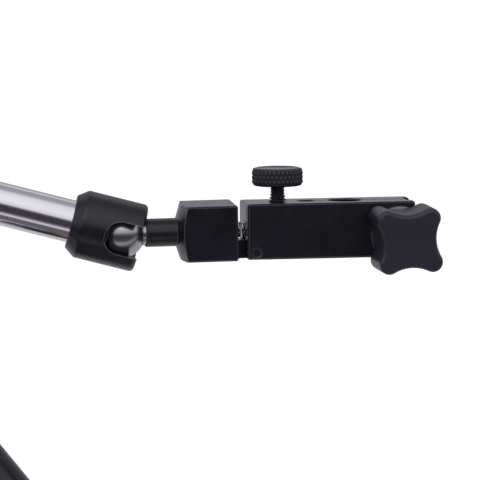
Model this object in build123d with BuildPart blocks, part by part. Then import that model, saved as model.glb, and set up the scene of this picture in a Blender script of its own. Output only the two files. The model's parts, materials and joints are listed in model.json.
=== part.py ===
from build123d import *
from math import asin, cos, radians, sin, sqrt, tan
import os

# Articulated bench stand: a switchable magnetic base, two tubular arms that fold at a central locking
# elbow, and a fine-adjust clamping head held by a ball joint.
# Frame: origin at the middle of the base's foot, +Z up, +X from the elbow towards the head, the arms
# fold in planes of constant Y, and the knobs face -Y. Millimetres.

# ---- driving dimensions ----
BASE_WIDTH = 34.0
BASE_DEPTH = 42.0
BASE_HEIGHT = 35.0
DIVIDER = 3.0
ROTOR_R = 9.47
ROTOR_BORE_R = 9.5
ROTOR_HEIGHT = 17.0

BALL_R = 5.7
SEAT_R = 5.76
LOWER_BALL_HEIGHT = 49.0
LOWER_REACH = 112.0
UPPER_REACH = 103.3
LOWER_SLOPE = 50.8
UPPER_SLOPE = 14.2
ARM_SPACING = 12.0

TUBE_R = 5.0
TUBE_BORE_R = 2.6
ROD_R = 2.5
CAP_R = 8.0
CAP_BACK = -11.9
CAP_BACK_R = 6.26
CAP_SHOULDER = -9.5
CAP_MOUTH = 4.8
CAP_MOUTH_R = 6.8
CAP_SHOULDER_ROUND = 1.2
CAP_MOUTH_ROUND = 1.1
LIP_X = 2.9
SLOT_R = 3.9
SLOT_DROOP = 5.0
TUBE_END = -7.6

HUB_R = 11.0
HUB_HALF = 5.95
BOSS_R = 5.8
BOSS_END = 20.0
HUB_BORE_R = 6.0
SLEEVE_R = 5.97
SLEEVE_BORE_R = 3.05
ELBOW_BOLT_R = 3.0
ELBOW_KNOB_R = 14.0
ELBOW_KNOB_THICK = 15.0
WASHER = 1.0

HEAD_YAW = 6.5
HEAD_TILT = 1.1
HEAD_ROLL = 0.6
BLOCK_ROLL = 2.0
BAR = 13.0
NECK_R = 3.3
NECK_START = 5.6
SHOULDER_START = 12.9
SHOULDER_RUN = 2.0
BLOCK_END = 26.7
STEM_R = 2.0
STEM_CLEARANCE = 0.03
GAP = 2.15
CLAMP_LENGTH = 39.5
CLAMP_DROOP = 0.6
PIVOT_INSET = 2.14
PIVOT_RISE = 1.6
PIVOT_R = 1.0
PIVOT_HOLE_EDGE = 0.2
PIVOT_RECESS = 0.35
PIVOT_PIN_EDGE = 0.15
TONGUE_TOP = -2.1
TONGUE_BOTTOM = -6.4
TONGUE_WIDTH = 5.0
TONGUE_LENGTH = 13.0
ADJUST_AT = 8.0
SMALL_HOLE_AT = 14.6
SMALL_HOLE_R = 2.0
LARGE_HOLE_AT = 23.8
LARGE_HOLE_R = 4.0
SLIT = 0.9
CLAMP_BOLT_AT = 35.7
CLAMP_BOLT_DROP = 1.5
THREAD_R = 2.0
SPRING_R = 1.93
SPRING_WIRE = 0.55
SPRING_HEIGHT = 0.2
POCKET_R = 2.1
POCKET_DEPTH = 1.0
THUMB_R = 6.0
THUMB_TOP_R = 5.05
THUMB_STANDOFF = 3.7
THUMB_THICK = 4.2
KNOB_REACH = 7.45
KNOB_WAIST = 6.2
KNOB_LOBE_R = 2.35
KNOB_TURN = 2.5
KNOB_THICK = 14.6
KNOB_GAP = 1.3
FIT = 0.03


# ---- frames ----
def side_plane(origin, along, facing):
    """Plane whose x runs along a member and whose normal faces the given way."""
    return Plane(origin=origin, x_dir=along, z_dir=facing)


def along(side):
    """Axis of a turned piece that lies on a side plane's x."""
    return Axis(side.origin, side.x_dir)


def upright(side, x, y, z=0.0):
    """Plane at a local point of a side plane, facing the side plane's up direction."""
    return Plane(origin=side.from_local_coords((x, y, z)), x_dir=side.x_dir, z_dir=side.y_dir)


def crosswise(side, x, y, z=0.0):
    """Plane at a local point of a side plane, parallel to it."""
    return Plane(origin=side.from_local_coords((x, y, z)), x_dir=side.x_dir, z_dir=side.z_dir)


def rolled(side, angle):
    """Side plane turned about its own x axis, so that its face looks further down."""
    facing = side.z_dir * cos(radians(angle)) - side.y_dir * sin(radians(angle))
    return Plane(origin=side.origin, x_dir=side.x_dir, z_dir=facing)


FRONT = Vector(0, -1, 0)
lower_dir = Vector(cos(radians(LOWER_SLOPE)), 0, -sin(radians(LOWER_SLOPE)))
upper_dir = Vector(cos(radians(UPPER_SLOPE)), 0, -sin(radians(UPPER_SLOPE)))
upper_under = Vector(-sin(radians(UPPER_SLOPE)), 0, -cos(radians(UPPER_SLOPE)))

lower_ball_point = Vector(0, 0, LOWER_BALL_HEIGHT)
elbow_point = lower_ball_point - lower_dir * LOWER_REACH
upper_elbow_point = elbow_point + FRONT * ARM_SPACING
upper_ball_point = upper_elbow_point + upper_dir * UPPER_REACH

# Each arm's plane has x towards the cap's mouth and faces the way its slot does.
lower_slot_dir = Vector(-sin(radians(LOWER_SLOPE)), 0, -cos(radians(LOWER_SLOPE)))
upper_slot_dir = FRONT * cos(radians(SLOT_DROOP)) + upper_under * sin(radians(SLOT_DROOP))
LOWER_ARM = side_plane(lower_ball_point, lower_dir, lower_slot_dir)
UPPER_ARM = side_plane(upper_ball_point, upper_dir, upper_slot_dir)
ELBOW_AXLE = Plane(origin=elbow_point, x_dir=FRONT, z_dir=(1, 0, 0))
STUD_AXLE = Plane(origin=lower_ball_point, x_dir=(0, 0, -1), z_dir=(0, -1, 0))

tilt = radians(HEAD_TILT)
yaw = radians(HEAD_YAW)
head_dir = Vector(cos(tilt) * cos(yaw), cos(tilt) * sin(yaw), sin(tilt))
HEAD = rolled(side_plane(upper_ball_point, head_dir, (sin(yaw), -cos(yaw), 0)), HEAD_ROLL)
# The square block sits slightly turned on its neck against the clamp.
BLOCK = rolled(HEAD, BLOCK_ROLL)

clamp_start = BLOCK_END + GAP
pivot_height = PIVOT_RISE - BAR / 2
pivot_plane = crosswise(HEAD, clamp_start + PIVOT_INSET, pivot_height)
# Clamp frame: origin on the bar's centre line above the pivot pin, turned about the pin.
droop = radians(CLAMP_DROOP)
clamp_dir = HEAD.x_dir * cos(droop) - HEAD.y_dir * sin(droop)
CLAMP_PIN = side_plane(pivot_plane.origin, clamp_dir, HEAD.z_dir)
CLAMP = crosswise(CLAMP_PIN, -PIVOT_INSET, -pivot_height)

os.makedirs("parts", exist_ok=True)


def save(piece, name):
    """Labels a finished piece and writes its STEP file."""
    piece.part.label = name
    export_step(piece.part, f"parts/{name}.step")


def turned(side, outline):
    """Piece turned about a side plane's x axis; the outline lists (x, radius) corners."""
    with BuildPart() as piece:
        with BuildSketch(side):
            with BuildLine():
                Polyline(*outline, close=True)
            make_face()
        revolve(axis=along(side))
    return piece


# ---- magnetic base ----
BUSH_SPIGOT_R = 5.0
BUSH_DEPTH = 7.0
BUSH_FLANGE = 3.4
BUSH_ACROSS_FLATS = 13.0
BUSH_CORNER_CUT = 1.2
BUSH_FLOOR = 0.8
STUD_FOOT_GAP = 0.4
LOWER_STEM_R = 3.0
LOWER_STEM_EDGE = 0.5
PLATE_SIZE = 27.0
PLATE_THICK = 1.4
PLATE_CORNER = 3.0
PLATE_SCREW_AT = 10.6
SCREW_R = 1.2
SCREW_LONG = 3.0
SCREW_HEAD_R = 2.1
SCREW_HEAD = 1.3
SCREW_HEAD_ROUND = 0.6
DRIVER_SLOT = 0.6
TAPPED_DEPTH = 4.0
BASE_EDGE = 0.8


def base_slice(x_from, x_to, z_from, z_to):
    """Slice of the base block between two x values, with its rotor bore and stud seat."""
    with BuildPart() as piece:
        with BuildSketch(Plane.XZ):
            with Locations(((x_from + x_to) / 2, (z_from + z_to) / 2)):
                Rectangle(x_to - x_from, z_to - z_from)
            with Locations((0, ROTOR_HEIGHT)):
                Circle(ROTOR_BORE_R, mode=Mode.SUBTRACT)
        extrude(amount=BASE_DEPTH / 2, both=True)
        with BuildSketch(Plane.XY.offset(BASE_HEIGHT)):
            Circle(BUSH_SPIGOT_R)
        extrude(amount=-BUSH_DEPTH, mode=Mode.SUBTRACT)
    return piece


def pole_half(side):
    """Steel half of the base on one side of the divider, with threaded holes for the plate screws."""
    inner = side * DIVIDER / 2
    outer = side * BASE_WIDTH / 2
    with BuildPart() as pole:
        add(base_slice(min(inner, outer), max(inner, outer), 0, BASE_HEIGHT).part)
        flank = pole.faces().sort_by(Axis.X)[-1 if side > 0 else 0]
        chamfer(flank.edges(), BASE_EDGE)
        for height in (ROTOR_HEIGHT - PLATE_SCREW_AT, ROTOR_HEIGHT + PLATE_SCREW_AT):
            with BuildSketch(Plane.XZ.offset(BASE_DEPTH / 2)):
                with Locations((side * PLATE_SCREW_AT, height)):
                    Circle(SCREW_R)
            extrude(amount=-TAPPED_DEPTH, mode=Mode.SUBTRACT)
            with BuildSketch(Plane.XZ.offset(-BASE_DEPTH / 2)):
                with Locations((side * PLATE_SCREW_AT, height)):
                    Circle(SCREW_R)
            extrude(amount=TAPPED_DEPTH, mode=Mode.SUBTRACT)
    return pole


for side_name, side_sign in (("left", -1), ("right", 1)):
    save(pole_half(side_sign), f"base_pole_{side_name}")

save(base_slice(-DIVIDER / 2, DIVIDER / 2, ROTOR_HEIGHT, BASE_HEIGHT), "base_divider_top")
save(base_slice(-DIVIDER / 2, DIVIDER / 2, 0, ROTOR_HEIGHT), "base_divider_bottom")

SPINDLE_R = 4.0


def cover_plate(plane, bored):
    """Square cover over one end of the rotor bore, with four screw holes."""
    with BuildPart() as plate:
        with BuildSketch(plane):
            with Locations((0, ROTOR_HEIGHT)):
                RectangleRounded(PLATE_SIZE, PLATE_SIZE, PLATE_CORNER)
            if bored:
                with Locations((0, ROTOR_HEIGHT)):
                    Circle(SPINDLE_R + FIT, mode=Mode.SUBTRACT)
            with Locations((0, ROTOR_HEIGHT)):
                with GridLocations(2 * PLATE_SCREW_AT, 2 * PLATE_SCREW_AT, 2, 2):
                    Circle(SCREW_R, mode=Mode.SUBTRACT)
        extrude(amount=PLATE_THICK)
    return plate


front_face = Plane.XZ.offset(BASE_DEPTH / 2)
rear_face = Plane(origin=(0, BASE_DEPTH / 2, 0), x_dir=(-1, 0, 0), z_dir=(0, 1, 0))
save(cover_plate(front_face, True), "dial_plate")
save(cover_plate(rear_face, False), "rear_plate")


def plate_screw(plane, x, z):
    """Small pan-head screw through a cover plate, with a straight driver slot."""
    seat = crosswise(plane, x, z, PLATE_THICK)
    with BuildPart() as screw:
        with BuildSketch(seat):
            Circle(SCREW_R)
        extrude(amount=-PLATE_THICK - SCREW_LONG)
        with BuildSketch(seat):
            Circle(SCREW_HEAD_R)
        extrude(amount=SCREW_HEAD)
        fillet(screw.faces().sort_by(Axis(seat.origin, seat.z_dir))[-1].edges(), SCREW_HEAD_ROUND)
        with BuildSketch(crosswise(seat, 0, 0, SCREW_HEAD)):
            Rectangle(2 * SCREW_HEAD_R + 1, DRIVER_SLOT)
        extrude(amount=-DRIVER_SLOT, mode=Mode.SUBTRACT)
    return screw


for plane_name, plane in (("dial", front_face), ("rear", rear_face)):
    for x_name, x_sign in (("left", -1), ("right", 1)):
        for z_name, z_sign in (("low", -1), ("high", 1)):
            screw = plate_screw(plane, x_sign * PLATE_SCREW_AT, ROTOR_HEIGHT + z_sign * PLATE_SCREW_AT)
            save(screw, f"{plane_name}_screw_{x_name}_{z_name}")

ROTOR_AXLE = Plane(origin=(0, 0, ROTOR_HEIGHT), x_dir=FRONT, z_dir=(1, 0, 0))
ROTOR_END_GAP = 0.5
SPINDLE_STANDOUT = 1.0
rotor_half = BASE_DEPTH / 2 - ROTOR_END_GAP
spindle_end = BASE_DEPTH / 2 + PLATE_THICK + SPINDLE_STANDOUT
save(
    turned(
        ROTOR_AXLE,
        [
            (-rotor_half, 0),
            (-rotor_half, ROTOR_R),
            (rotor_half, ROTOR_R),
            (rotor_half, SPINDLE_R),
            (spindle_end, SPINDLE_R),
            (spindle_end, 0),
        ],
    ),
    "magnet_rotor",
)

DIAL_R = 9.6
DIAL_THICK = 4.5
DIAL_GRIP_WIDTH = 6.0
DIAL_GRIP_RISE = 5.5
DIAL_GRIP_TAPER = 6
DIAL_EDGE = 0.8
DIAL_GRIP_ROUND = 1.0
DIAL_GAP = 0.3
POINTER_WIDTH = 1.4
POINTER_LENGTH = 6.0
POINTER_THICK = 0.3
POINTER_UP = 3.2
dial_back = BASE_DEPTH / 2 + PLATE_THICK + DIAL_GAP


def switch_dial():
    """Round dial with a raised grip bar, seated on the rotor's spindle."""
    with BuildPart() as dial:
        with BuildSketch(crosswise(front_face, 0, ROTOR_HEIGHT, dial_back - BASE_DEPTH / 2)):
            Circle(DIAL_R)
        extrude(amount=DIAL_THICK)
        chamfer(dial.edges().group_by(Axis.Y)[0], DIAL_EDGE)
        with BuildSketch(crosswise(front_face, 0, ROTOR_HEIGHT, dial_back - BASE_DEPTH / 2 + DIAL_THICK)):
            SlotOverall(2 * (DIAL_R - DIAL_EDGE) - 0.2, DIAL_GRIP_WIDTH, rotation=90)
        extrude(amount=DIAL_GRIP_RISE, taper=DIAL_GRIP_TAPER)
        fillet(dial.edges().group_by(Axis.Y)[0], DIAL_GRIP_ROUND)
        with BuildSketch(crosswise(front_face, 0, ROTOR_HEIGHT, dial_back - BASE_DEPTH / 2)):
            Circle(SPINDLE_R)
        extrude(amount=spindle_end - dial_back, mode=Mode.SUBTRACT)
    return dial


save(switch_dial(), "switch_dial")


def dial_pointer():
    """Bright line let into the top of the dial's grip bar."""
    face_at = dial_back + DIAL_THICK + DIAL_GRIP_RISE
    with BuildPart() as pointer:
        with BuildSketch(crosswise(front_face, 0, ROTOR_HEIGHT + POINTER_UP, face_at - BASE_DEPTH / 2)):
            RectangleRounded(POINTER_WIDTH, POINTER_LENGTH, POINTER_WIDTH / 2 - 0.1)
        extrude(amount=POINTER_THICK)
    return pointer


save(dial_pointer(), "dial_pointer")


def stud_bush():
    """Hexagon-headed bush pressed into the top of the base; the lower stud turns in it."""
    with BuildPart() as bush:
        with BuildSketch(Plane.XY.offset(BASE_HEIGHT)):
            RegularPolygon(BUSH_ACROSS_FLATS / 2, 6, major_radius=False)
        extrude(amount=BUSH_FLANGE)
        with BuildSketch(Plane.XY.offset(BASE_HEIGHT)):
            Circle(BUSH_SPIGOT_R)
        extrude(amount=-BUSH_DEPTH)
        hexagon_corner = BUSH_ACROSS_FLATS / 2 / cos(radians(30))
        with BuildSketch(Plane.XZ):
            Polygon(
                (BUSH_ACROSS_FLATS / 2, BASE_HEIGHT + BUSH_FLANGE),
                (hexagon_corner + 1, BASE_HEIGHT + BUSH_FLANGE),
                (hexagon_corner + 1, BASE_HEIGHT + BUSH_FLANGE - BUSH_CORNER_CUT),
                align=None,
            )
        revolve(axis=Axis.Z, mode=Mode.SUBTRACT)
        with BuildSketch(Plane.XY.offset(BASE_HEIGHT + BUSH_FLANGE)):
            Circle(LOWER_STEM_R + FIT)
        extrude(amount=-BUSH_FLANGE - BUSH_DEPTH + BUSH_FLOOR, mode=Mode.SUBTRACT)
    return bush


save(stud_bush(), "stud_bush")


# ---- ball studs ----
def ball_stud(side, shaft_r, outline):
    """Ball with a turned shaft; the outline continues from the ball's surface to the far end."""
    meet = sqrt(BALL_R**2 - shaft_r**2)
    with BuildPart() as stud:
        with BuildSketch(side):
            with BuildLine():
                surface = ThreePointArc((-BALL_R, 0), (0, BALL_R), (meet, shaft_r))
                Polyline(surface @ 1, *outline, (-BALL_R, 0))
            make_face()
        revolve(axis=along(side))
    return stud


lower_stem_end = LOWER_BALL_HEIGHT - BASE_HEIGHT + BUSH_DEPTH - BUSH_FLOOR - STUD_FOOT_GAP
save(
    ball_stud(
        STUD_AXLE,
        LOWER_STEM_R,
        [
            (lower_stem_end - LOWER_STEM_EDGE, LOWER_STEM_R),
            (lower_stem_end, LOWER_STEM_R - LOWER_STEM_EDGE),
            (lower_stem_end, 0),
        ],
    ),
    "lower_ball_stud",
)

COLLAR_R = 2.9
STEM_INTO_BLOCK = 4.0
stem_end = SHOULDER_START + STEM_INTO_BLOCK
save(
    ball_stud(
        HEAD,
        COLLAR_R,
        [(NECK_START - FIT, COLLAR_R), (NECK_START - FIT, STEM_R), (stem_end, STEM_R), (stem_end, 0)],
    ),
    "upper_ball_stud",
)


# ---- arms ----
HUB_SOCKET = 6.0


def cap_rims(cap):
    """The cap's outer round edges."""
    return cap.edges().filter_by(GeomType.CIRCLE).filter_by(lambda edge: abs(edge.radius - CAP_R) < 0.01)


def socket_cap(side):
    """Cap that holds the ball behind a spherical lip and lets the stud out through a side slot."""
    lip_r = sqrt(SEAT_R**2 - LIP_X**2)
    lip_turn = asin(LIP_X / SEAT_R) / 2
    with BuildPart() as cap:
        with BuildSketch(side):
            with BuildLine():
                Polyline(
                    (LIP_X, lip_r),
                    (CAP_MOUTH, CAP_MOUTH_R),
                    (CAP_MOUTH, CAP_R),
                    (CAP_SHOULDER, CAP_R),
                    (CAP_BACK, CAP_BACK_R),
                    (CAP_BACK, TUBE_R),
                    (TUBE_END, TUBE_R),
                    (TUBE_END, SEAT_R),
                    (0, SEAT_R),
                )
                ThreePointArc((0, SEAT_R), (SEAT_R * sin(lip_turn), SEAT_R * cos(lip_turn)), (LIP_X, lip_r))
            make_face()
        revolve(axis=along(side))
        fillet(cap_rims(cap).sort_by(along(side))[0], CAP_SHOULDER_ROUND)
        fillet(cap_rims(cap).sort_by(along(side))[-1], CAP_MOUTH_ROUND)
        with BuildSketch(side):
            Circle(SLOT_R)
            with Locations((CAP_MOUTH / 2 + 0.5, 0)):
                Rectangle(CAP_MOUTH + 1, 2 * SLOT_R)
        extrude(amount=CAP_R + 1, mode=Mode.SUBTRACT)
    return cap


def arm_tube(side, reach):
    """Straight tube from the cap's thread to the elbow hub's socket."""
    elbow_end = -reach + BOSS_END - HUB_SOCKET
    return turned(
        side,
        [
            (TUBE_END, TUBE_BORE_R),
            (TUBE_END, TUBE_R),
            (elbow_end, TUBE_R),
            (elbow_end, TUBE_BORE_R),
        ],
    )


RING_BORE_R = 2.2
RING_EDGE = 0.9
RING_THICK = 0.35
RING_BACK = -sqrt(SEAT_R**2 - RING_BORE_R**2) - RING_THICK
PAD_GAP = 0.05
PAD_FRONT = RING_BACK - PAD_GAP
PAD_BACK = -7.2
PAD_R = SEAT_R - 0.2
SLEEVE_GROOVE_R = 5.05
SLEEVE_SLOPE = 0.3
SLEEVE_GROOVE_HALF = 3.0
ROD_END = 5.6
ROD_TIP_R = 1.2
ROD_TIP_LONG = 1.5
HUB_ROUND = 0.8
BOSS_EDGE = 0.4


def seat_ring(side):
    """Hardened ring with a spherical face that rests on the back of the ball."""
    outer_r = SEAT_R - FIT
    rim_r = outer_r - RING_EDGE
    inner_x = -sqrt(SEAT_R**2 - RING_BORE_R**2)
    rim_x = -sqrt(SEAT_R**2 - rim_r**2)
    middle = (asin(RING_BORE_R / SEAT_R) + asin(rim_r / SEAT_R)) / 2
    with BuildPart() as ring:
        with BuildSketch(side):
            with BuildLine():
                ThreePointArc(
                    (inner_x, RING_BORE_R), (-SEAT_R * cos(middle), SEAT_R * sin(middle)), (rim_x, rim_r)
                )
                Polyline(
                    (rim_x, rim_r),
                    (rim_x, outer_r),
                    (RING_BACK, outer_r),
                    (RING_BACK, RING_BORE_R),
                    (inner_x, RING_BORE_R),
                )
            make_face()
        revolve(axis=along(side))
    return ring


def seat_pad(side):
    """Brass pad on the rod's end that presses the seat ring towards the ball."""
    return turned(side, [(PAD_BACK, 0), (PAD_BACK, PAD_R), (PAD_FRONT, PAD_R), (PAD_FRONT, 0)])


def push_rod(side, reach):
    """Rod inside the tube, from the elbow's lock sleeve to the seat pad."""
    tip = -reach + ROD_END
    outline = [(tip, 0), (tip, ROD_TIP_R), (tip + ROD_TIP_LONG, ROD_R), (PAD_BACK, ROD_R), (PAD_BACK, 0)]
    return turned(side, outline)


def elbow_hub(side, reach, centre, end_wall):
    """Round hub on the elbow axle with a boss for the tube and a chamber for the lock sleeve."""
    disc = Plane(origin=centre, x_dir=side.x_dir, z_dir=FRONT)
    boss = Plane(origin=centre, x_dir=FRONT, z_dir=side.x_dir)
    with BuildPart() as hub:
        with BuildSketch(disc):
            Circle(HUB_R)
        extrude(amount=HUB_HALF, both=True)
        fillet(hub.edges().filter_by(GeomType.CIRCLE), HUB_ROUND)
        with BuildSketch(boss):
            Circle(BOSS_R)
        extrude(amount=BOSS_END)
        chamfer(hub.faces().sort_by(Axis(centre, side.x_dir))[-1].edges(), BOSS_EDGE)
        with BuildSketch(disc):
            Circle(SLEEVE_BORE_R)
        extrude(amount=HUB_HALF, both=True, mode=Mode.SUBTRACT)
        open_side = -1 if end_wall > 0 else 1
        with BuildSketch(disc.offset(open_side * HUB_HALF)):
            Circle(HUB_BORE_R)
        extrude(amount=-open_side * (2 * HUB_HALF - abs(end_wall)), mode=Mode.SUBTRACT)
        with BuildSketch(boss):
            Circle(TUBE_BORE_R)
        extrude(amount=BOSS_END, mode=Mode.SUBTRACT)
        with BuildSketch(boss.offset(BOSS_END)):
            Circle(TUBE_R)
        extrude(amount=-HUB_SOCKET, mode=Mode.SUBTRACT)
    return hub


HUB_END_WALL = 1.2
ARMS = (
    ("lower", LOWER_ARM, LOWER_REACH, elbow_point, -HUB_END_WALL),
    ("upper", UPPER_ARM, UPPER_REACH, upper_elbow_point, HUB_END_WALL),
)
for arm_name, arm, reach, centre, end_wall in ARMS:
    save(socket_cap(arm), f"{arm_name}_socket_cap")
    save(arm_tube(arm, reach), f"{arm_name}_tube")
    save(seat_ring(arm), f"{arm_name}_seat_ring")
    save(seat_pad(arm), f"{arm_name}_seat_pad")
    save(push_rod(arm, reach), f"{arm_name}_push_rod")
    save(elbow_hub(arm, reach, centre, end_wall), f"{arm_name}_elbow_hub")


# ---- elbow lock ----
HUB_FRONT = ARM_SPACING + HUB_HALF
SLEEVE_BACK = -3.7
SLEEVE_FRONT = 15.4
WASHER_R = 7.0
LOOSE = 0.1
KNOB_BACK = HUB_FRONT + WASHER + LOOSE
INSERT_R = 5.0


def lock_sleeve():
    """Sleeve on the elbow bolt with one cone under each push rod; sliding it locks both balls."""
    low = SLEEVE_GROOVE_R - SLEEVE_SLOPE * SLEEVE_GROOVE_HALF
    high = SLEEVE_GROOVE_R + SLEEVE_SLOPE * SLEEVE_GROOVE_HALF
    outline = [(SLEEVE_BACK, SLEEVE_BORE_R), (SLEEVE_BACK, SLEEVE_R)]
    for plane_at in (0, ARM_SPACING):
        outline.append((plane_at - SLEEVE_GROOVE_HALF, SLEEVE_R))
        outline.append((plane_at - SLEEVE_GROOVE_HALF, high))
        outline.append((plane_at + SLEEVE_GROOVE_HALF, low))
        outline.append((plane_at + SLEEVE_GROOVE_HALF, SLEEVE_R))
    outline += [(SLEEVE_FRONT, SLEEVE_R), (SLEEVE_FRONT, SLEEVE_BORE_R)]
    return turned(ELBOW_AXLE, outline)


save(lock_sleeve(), "lock_sleeve")


def washer(side, back, front, bore_r, rim_r):
    """Flat washer on a side plane's x axis."""
    return turned(side, [(back, bore_r), (back, rim_r), (front, rim_r), (front, bore_r)])


save(washer(ELBOW_AXLE, -HUB_HALF - WASHER, -HUB_HALF, SLEEVE_BORE_R, WASHER_R), "elbow_washer_rear")
save(washer(ELBOW_AXLE, HUB_FRONT, HUB_FRONT + WASHER, SLEEVE_BORE_R, WASHER_R), "elbow_washer_front")

BOLT_HEAD_R = 6.5
BOLT_HEAD = 4.0
BOLT_HEAD_ROUND = 1.2
BOLT_HEAD_START = -HUB_HALF - WASHER - LOOSE
ELBOW_INSERT_LONG = 10.0
BOLT_FRONT = KNOB_BACK + ELBOW_INSERT_LONG
SOCKET_ACROSS = 4.0
SOCKET_DEPTH = 2.4


def elbow_bolt():
    """Bolt through both hubs with a socket head at the rear; it turns with the elbow knob."""
    end_point = ELBOW_AXLE.from_local_coords((BOLT_HEAD_START - BOLT_HEAD, 0, 0))
    head_end = Plane(origin=end_point, x_dir=(1, 0, 0), z_dir=FRONT)
    with BuildPart() as bolt:
        with BuildSketch(head_end):
            Circle(BOLT_HEAD_R)
        extrude(amount=BOLT_HEAD)
        fillet(bolt.faces().sort_by(Axis.Y)[-1].edges(), BOLT_HEAD_ROUND)
        with BuildSketch(head_end):
            Circle(ELBOW_BOLT_R)
        extrude(amount=BOLT_FRONT - BOLT_HEAD_START + BOLT_HEAD)
        with BuildSketch(head_end):
            RegularPolygon(SOCKET_ACROSS / 2, 6, major_radius=False)
        extrude(amount=SOCKET_DEPTH, mode=Mode.SUBTRACT)
    return bolt


save(elbow_bolt(), "elbow_bolt")
save(washer(ELBOW_AXLE, KNOB_BACK, BOLT_FRONT, ELBOW_BOLT_R, INSERT_R), "elbow_knob_insert")

SCALLOPS = 8
SCALLOP_R = 5.0
SCALLOP_OUT = 3.4
SCALLOP_ROUND = 1.0
ELBOW_KNOB_ROUND = 1.5
ELBOW_KNOB_HUB_R = 8.5
ELBOW_KNOB_HUB = 3.0


def elbow_knob():
    """Scalloped hand knob that locks the elbow and both balls together."""
    back = Plane(origin=ELBOW_AXLE.from_local_coords((KNOB_BACK, 0, 0)), x_dir=(1, 0, 0), z_dir=FRONT)
    with BuildPart() as knob:
        with BuildSketch(back.offset(ELBOW_KNOB_HUB)) as rim:
            Circle(ELBOW_KNOB_R)
            with PolarLocations(ELBOW_KNOB_R + SCALLOP_OUT, SCALLOPS):
                Circle(SCALLOP_R, mode=Mode.SUBTRACT)
            fillet(rim.vertices(), SCALLOP_ROUND)
        extrude(amount=ELBOW_KNOB_THICK - ELBOW_KNOB_HUB)
        fillet(knob.faces().sort_by(Axis.Y)[0].edges(), ELBOW_KNOB_ROUND)
        with BuildSketch(back):
            Circle(ELBOW_KNOB_HUB_R)
        extrude(amount=ELBOW_KNOB_HUB + 0.2)
        with BuildSketch(back):
            Circle(INSERT_R)
        extrude(amount=BOLT_FRONT - KNOB_BACK, mode=Mode.SUBTRACT)
    return knob


save(elbow_knob(), "elbow_knob")


# ---- head: fine-adjust block ----
BAR_EDGE = 0.35
BLOCK_END_EDGE = 0.3
NECK_EDGE = 0.25
STEM_HOLE_EXTRA = 0.3


def endways(side, x, y):
    """Plane at a local point of a side plane, facing along it."""
    return Plane(origin=side.from_local_coords((x, y, 0)), x_dir=side.y_dir, z_dir=side.x_dir)


def fine_block():
    """Neck, coned shoulder, square block and the tongue that carries the clamp's pivot."""
    corner = BAR / sqrt(2)
    slope = (corner - NECK_R) / SHOULDER_RUN
    with BuildPart() as block:
        with BuildSketch(endways(BLOCK, SHOULDER_START, 0)):
            Rectangle(BAR, BAR)
        extrude(amount=BLOCK_END - SHOULDER_START)
        chamfer(block.edges().filter_by(along(HEAD)), BAR_EDGE)
        chamfer(block.faces().sort_by(along(HEAD))[-1].edges(), BLOCK_END_EDGE)
        with BuildSketch(HEAD):
            with BuildLine():
                Polyline(
                    (SHOULDER_START - 0.5, NECK_R - 0.5 * slope),
                    (SHOULDER_START + SHOULDER_RUN + 0.2, corner + 0.2 * slope),
                    (SHOULDER_START - 0.5, corner + 0.2 * slope),
                    close=True,
                )
            make_face()
        revolve(axis=along(HEAD), mode=Mode.SUBTRACT)
        with BuildSketch(endways(HEAD, NECK_START, 0)):
            Circle(NECK_R)
        extrude(amount=SHOULDER_START + 1 - NECK_START)
        chamfer(block.faces().sort_by(along(HEAD))[0].edges(), NECK_EDGE)
        with BuildSketch(endways(HEAD, NECK_START, 0)):
            Circle(STEM_R + STEM_CLEARANCE)
        extrude(amount=stem_end + STEM_HOLE_EXTRA - NECK_START, mode=Mode.SUBTRACT)
        with BuildSketch(HEAD):
            with Locations((BLOCK_END + TONGUE_LENGTH / 2 - 0.5, (TONGUE_TOP + TONGUE_BOTTOM) / 2)):
                Rectangle(TONGUE_LENGTH + 1, TONGUE_TOP - TONGUE_BOTTOM)
        extrude(amount=TONGUE_WIDTH / 2, both=True)
        with BuildSketch(pivot_plane):
            Circle(PIVOT_R + FIT)
        extrude(amount=TONGUE_WIDTH, both=True, mode=Mode.SUBTRACT)
        with BuildSketch(endways(HEAD, BLOCK_END, SPRING_HEIGHT)):
            Circle(POCKET_R)
        extrude(amount=-POCKET_DEPTH, mode=Mode.SUBTRACT)
    return block


save(fine_block(), "fine_block")


def gap_spring():
    """Compression spring between the block and the clamp, seated in a pocket at each end."""
    start = BLOCK_END - POCKET_DEPTH + SPRING_WIRE / 2 + 0.1
    length = GAP + 2 * POCKET_DEPTH - SPRING_WIRE - 0.25
    coil_r = SPRING_R - SPRING_WIRE / 2
    with BuildPart() as spring:
        with BuildLine():
            coil = Helix(
                pitch=length / 3.5,
                height=length,
                radius=coil_r,
                center=HEAD.from_local_coords((start, SPRING_HEIGHT, 0)),
                direction=HEAD.x_dir,
            )
        with BuildSketch(Plane(origin=coil @ 0, z_dir=coil % 0)):
            Circle(SPRING_WIRE / 2)
        sweep(is_frenet=True)
    return spring


save(gap_spring(), "gap_spring")


# ---- head: clamp ----
SLOT_SIDE = 0.2
SLOT_END = 11.6
SLOT_TOP = -1.1
BOLT_CLEARANCE_R = 2.2
DOVETAIL_DEPTH = 1.5
DOVETAIL_MOUTH = 2.6
DOVETAIL_BASE = 3.5
HOLE_EDGE = 0.25


def on_pivot_hole(edge):
    """True for the round edges of the pivot pin's hole."""
    return abs(edge.radius - PIVOT_R) < 0.001


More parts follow.
